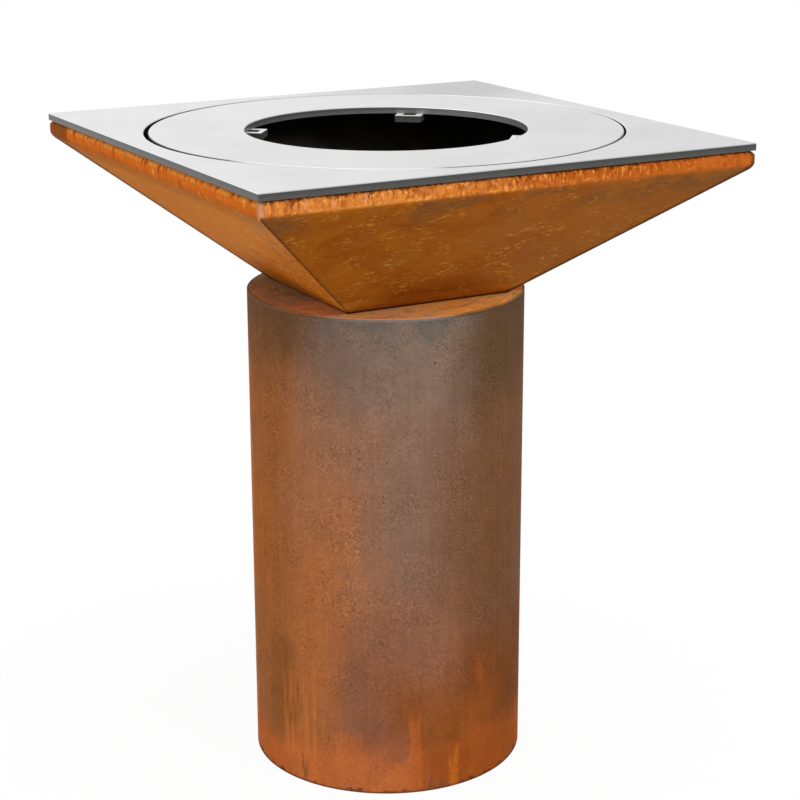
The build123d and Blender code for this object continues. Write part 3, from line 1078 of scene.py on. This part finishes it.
@dataclass
class Bowl:
    """The four folded panels, the floor, the welds inside and the screws."""

    nodes: Dict[str, bpy.types.Object]
    foot_half: float = 0.130
    lean: float = 1.22
    sheet: float = 0.003
    screw_at: float = 0.085
    corner_top: float = 0.905
    corner: Weld = field(default_factory=lambda: Weld(0.009, 0.0028))
    edge: Weld = field(default_factory=lambda: Weld(0.010, 0.0026))
    fastener: HexFastener = field(default_factory=HexFastener)

    def inside(self, z: float, foot_z: float) -> float:
        """Half the bowl's inner width: the foot's half width and the wall's lean, less the sheet measured level."""
        return self.foot_half + (z - foot_z) * self.lean - self.sheet * math.hypot(1.0, self.lean)

    def welds(self) -> Tuple[bpy.types.Object, bpy.types.Object]:
        """Lay beads up the four inner corners and along the four sides of the floor.

        Returns:
            The corners' beads and the floor's.
        """
        low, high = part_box("bowl_floor")
        foot, top = (self.inside(z, low.z) for z in (high.z, self.corner_top))
        start = quarter_turns(np.array([[foot, foot, high.z]]))
        end = quarter_turns(np.array([[top, top, self.corner_top]]))
        corners = self.corner.lay(start, end, quarter_turns(np.array([[-1.0, -1.0, 2.0 * self.lean]])))
        start = quarter_turns(np.array([[foot, -foot, high.z]]))
        end = quarter_turns(np.array([[foot, foot, high.z]]))
        wall = math.hypot(1.0, self.lean)
        sides = self.edge.lay(start, end, quarter_turns(np.array([[-1.0 / wall, 0.0, 1.0 + self.lean / wall]])))
        return skin("bowl_corner_welds", corners), skin("bowl_floor_welds", sides)

    def fasteners(self) -> Tuple[bpy.types.Object, bpy.types.Object]:
        """Cut the four screws and nuts.

        Returns:
            The screws and the nuts.
        """
        places = quarter_turns(np.array([[self.screw_at, self.screw_at, 0.0]]))[:, None, None]
        end, top = (v.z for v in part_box("bowl_bolts"))
        low, high = (v.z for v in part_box("bowl_nuts"))
        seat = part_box("bowl_washers")[1].z
        return (skin("bowl_screws", places + self.fastener.screw(end, seat, top)),
                skin("bowl_screw_nuts", places + self.fastener.nut(low, high), looped=True))

    def dress(self) -> None:
        """Give the panels, floor, welds and screws their finishes."""
        panels = [f"bowl_{side}_panel" for side in ("right", "back", "left", "front")]
        folded, oxide = BowlPatina().material(), FastenerSteel().material()
        put_on(self.nodes, folded, [*panels, "bowl_floor"])
        put_on(self.nodes, oxide, ["bowl_washers"])
        for piece in self.welds():
            settle(piece, "stand", "bowl_weathering_steel", folded)
        screws, nuts = self.fasteners()
        settle(screws, "stand", "fastener_steel", oxide, "bowl_bolts")
        settle(nuts, "stand", "fastener_steel", oxide, "bowl_nuts")


@dataclass
class GriddleTop:
    """The square plate with its locators, and the loose ring with its lugs."""

    nodes: Dict[str, bpy.types.Object]
    bevel: float = 0.001
    lug_bevel: float = 0.0005
    ring_middle: Tuple[float, float] = (0.0015, -0.00075)
    lug_turn: float = 51.0
    lug_half: float = 0.020
    tail: Tuple[float, float] = (0.2085, 0.2300)
    locator: float = 0.320
    leg: Tuple[float, float] = (0.005, 0.038)
    bead_short: float = 0.002
    bead: Weld = field(default_factory=lambda: Weld(0.006, 0.0024))

    def lug_welds(self) -> bpy.types.Object:
        """Lay beads along both sides of each lug's tail, under the ring.

        Returns:
            The beads as one piece.
        """
        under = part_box("griddle_ring")[0].z
        a = math.radians(self.lug_turn)
        out, aside = np.array([math.cos(a), math.sin(a), 0.0]), np.array([-math.sin(a), math.cos(a), 0.0])
        inner, outer = self.tail
        sides = np.array([-1.0, 1.0])[:, None]
        start = quarter_turns(inner * out + sides * self.lug_half * aside)
        end = quarter_turns(outer * out + sides * self.lug_half * aside)
        rise = quarter_turns(sides * aside + (0.0, 0.0, -1.0))
        middle = np.array([*self.ring_middle, under])
        return skin("grate_lug_welds", self.bead.lay(start + middle, end + middle, rise))

    def locator_welds(self) -> bpy.types.Object:
        """Lay beads along the inner sides of the angle pieces, under the plate, a little short of their corners.

        Returns:
            The beads as one piece.
        """
        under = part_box("griddle_plate")[0].z
        wall, leg = self.leg
        inner, tip = self.locator - wall, self.locator - leg
        stop = inner - self.bead_short
        start = quarter_turns(np.array([[tip, inner, under], [inner, tip, under]]))
        end = quarter_turns(np.array([[stop, inner, under], [inner, stop, under]]))
        rise = quarter_turns(np.array([[0.0, -1.0, -1.0], [-1.0, 0.0, -1.0]]))
        return skin("plate_locator_welds", self.bead.lay(start, end, rise))

    def dress(self) -> None:
        """Give the plate, ring, lugs and locators their finishes."""
        under, top = (v.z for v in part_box("griddle_plate"))
        # painted light and shade: a greyer far corner on the plate, painted highlights on the bevels round the openings
        # and on the ring's edge to the front left, and a paler stretch of the ring's cut edge
        bevels = (0.0, 0.0001, top - 0.0003, top - 0.0001)
        plate = GroundSteel("ground_steel_plate", top, self.bevel, zones=(
            Zone("d0d0d0", 52.0, 12.0, 38.0),
            Zone("c2c2c2", 45.0, 0.0, 15.0),
            Zone("ffffff", 32.0, 12.0, 24.0, bevels),
        ))
        ring = GroundSteel("ground_steel_ring", top, self.bevel, cut_edge="787878", cut_low="a2a2a0", cut_metal=0.7,
                           mark_share=0.15, zones=(Zone("ffffff", 26.0, 14.0, 30.0, bevels),),
                           cut_zones=(Zone("d0d0d0", -5.0, 10.0, 62.0, share=0.55),),
                           glint=Zone("ffffff", -130.0, 19.0, 27.0, (top - 0.004, top - 0.003, *ABOVE)))
        small = GroundSteel("ground_steel_lug", under, self.lug_bevel, bright="f6f6f6", dulled="eeeeee",
                            top_metal=0.1, cut_metal=0.5)
        put_on(self.nodes, plate.material(), ["griddle_plate"])
        put_on(self.nodes, ring.material(), ["griddle_ring"])
        put_on(self.nodes, small.material(), [
            f"{piece}_{corner}" for piece in ("grate_lug", "plate_locator")
            for corner in ("back_right", "back_left", "front_left", "front_right")])
        weld = WeldSteel().material()
        settle(self.lug_welds(), "ring", "ground_steel", weld)
        settle(self.locator_welds(), "plate", "ground_steel", weld)


@dataclass(frozen=True)
class Lamp:
    """A square soft lamp, which bare steel doesn't mirror."""

    name: str
    place: Triple
    aim: Triple
    side: float
    watts: float

    def hang(self) -> None:
        """Hang the lamp in its place, facing the point that it aims at."""
        data = bpy.data.lights.new(self.name, "AREA")
        data.size = self.side
        data.energy = self.watts
        lamp = bpy.data.objects.new(self.name, data)
        lamp.location = self.place
        lamp.visible_glossy = False
        lamp.rotation_mode = "QUATERNION"
        lamp.rotation_quaternion = (Vector(self.aim) - Vector(self.place)).to_track_quat("-Z", "Y")
        bpy.context.scene.collection.objects.link(lamp)


@dataclass
class Studio:
    """Floor, light and camera."""

    azimuth: float = -28.8077
    pitch: float = 16.6560
    roll: float = -0.1534
    stand: Triple = (-1.352616, -2.502235, 1.396766)
    focal_px: float = 1983.898
    frame_px: float = 800.0
    sensor: float = 36.0
    # the surround's strength, the way to its bright side, how much brighter that is, and its limit
    surround: float = 0.62
    bright_side: float = 150.0
    lean: float = 0.6
    brightest: float = 1.15
    # a key lamp from the front right and a low lamp on the left
    lamps: Tuple[Lamp, ...] = (
        Lamp("lamp_key", (1.27, -2.74, 2.68), (0.0, 0.0, 0.72), 1.6, 95.0),
        Lamp("lamp_low_left", (-2.2, -0.2, 0.35), (0.0, 0.0, 0.8), 1.4, 6.0),
    )
    floor_half: float = 8.0
    floor_z: float = -0.0002
    # where the floor's shadow is fullest and where it is gone, and how white the floor is at its fullest
    shadow: Tuple[float, float] = (0.25, 1.0)
    shadow_white: float = 0.94

    def floor(self) -> None:
        """A white floor that keeps a faint shadow."""
        half, z = self.floor_half, self.floor_z
        mesh = bpy.data.meshes.new("floor")
        mesh.from_pydata([(-half, -half, z), (half, -half, z), (half, half, z), (-half, half, z)], [], [(0, 1, 2, 3)])
        floor = bpy.data.objects.new("floor", mesh)
        bpy.context.scene.collection.objects.link(floor)
        material, tree, spot = new_material("white_floor")
        path = add(tree, "LightPath")
        seen = add(tree, "Math", {0: path.outputs["Is Camera Ray"], 1: path.outputs["Is Glossy Ray"]},
                   operation="MAXIMUM")
        seen = add(tree, "Math", {0: seen, 1: path.outputs["Is Transmission Ray"]}, operation="MAXIMUM")
        away = add(tree, "VectorMath", {0: spot}, operation="LENGTH").outputs["Value"]
        clear = add(tree, "MapRange", {"Value": away, "From Min": self.shadow[0], "From Max": self.shadow[1],
                                       "To Min": self.shadow_white}, interpolation_type="SMOOTHSTEP")
        matt = add(tree, "BsdfDiffuse", {"Color": (0.9, 0.9, 0.9, 1.0)})
        white = add(tree, "Emission", {"Color": (1.0, 1.0, 1.0, 1.0), "Strength": 1.0})
        both = add(tree, "MixShader", {0: mask(tree, seen, clear), 1: matt, 2: white})
        add(tree, "OutputMaterial", {"Surface": both})
        mesh.materials.append(material)

    def light(self) -> None:
        """A soft surround, brighter to the left, and the lamps."""
        world = bpy.data.worlds.new("soft_surround")
        bpy.context.scene.world = world
        world.use_nodes = True
        tree = world.node_tree
        tree.nodes.clear()
        path = add(tree, "LightPath")
        seen = add(tree, "Math", {0: path.outputs["Is Camera Ray"], 1: path.outputs["Is Transmission Ray"]},
                   operation="MAXIMUM")
        level = add(tree, "Mix", {0: path.outputs["Is Glossy Ray"], 1: self.surround, 2: 1.0}, data_type="FLOAT")
        side = math.radians(self.bright_side)
        lean = (self.lean * math.cos(side), self.lean * math.sin(side), 0.0)
        way = add(tree, "TexCoord").outputs["Generated"]
        slope = add(tree, "VectorMath", {0: way, 1: lean}, operation="DOT_PRODUCT").outputs["Value"]
        lit = add(tree, "Math", {0: slope, 1: level, 2: level}, operation="MULTIPLY_ADD")
        lit = add(tree, "Math", {0: lit, 1: self.brightest}, operation="MINIMUM")
        strength = add(tree, "Mix", {0: seen, 1: lit, 2: 1.0}, data_type="FLOAT")
        surround = add(tree, "Background", {"Color": (1.0, 1.0, 1.0, 1.0), "Strength": strength})
        add(tree, "OutputWorld", {"Surface": surround})
        for lamp in self.lamps:
            lamp.hang()

    def camera(self) -> None:
        """A camera at the photograph's place: backwards axis (sin a cos p, -cos a cos p, sin p), turned by the roll."""
        a, p, r = (math.radians(v) for v in (self.azimuth, self.pitch, self.roll))
        back = Vector((math.sin(a) * math.cos(p), -math.cos(a) * math.cos(p), math.sin(p)))
        level = Vector((math.cos(a), math.sin(a), 0.0))
        rise = back.cross(level)
        right = math.cos(r) * level + math.sin(r) * rise
        up = math.cos(r) * rise - math.sin(r) * level
        data = bpy.data.cameras.new("camera")
        data.sensor_width = self.sensor
        data.lens = self.focal_px / self.frame_px * self.sensor
        data.clip_end = 50.0
        camera = bpy.data.objects.new("camera", data)
        axes = Matrix((right, up, back)).transposed().to_4x4()
        camera.matrix_world = Matrix.Translation(self.stand) @ axes
        bpy.context.scene.collection.objects.link(camera)
        bpy.context.scene.camera = camera


def main() -> None:
    """Load the solids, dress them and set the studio."""
    logging.basicConfig(level=logging.INFO, format="%(name)s %(message)s")
    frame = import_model()
    nodes = frame["nodes"]
    Pedestal(nodes).dress()
    Bowl(nodes).dress()
    GriddleTop(nodes).dress()
    studio = Studio()
    studio.floor()
    studio.light()
    studio.camera()
    bpy.context.scene.view_settings.view_transform = "Standard"


if __name__ == "__main__":
    main()
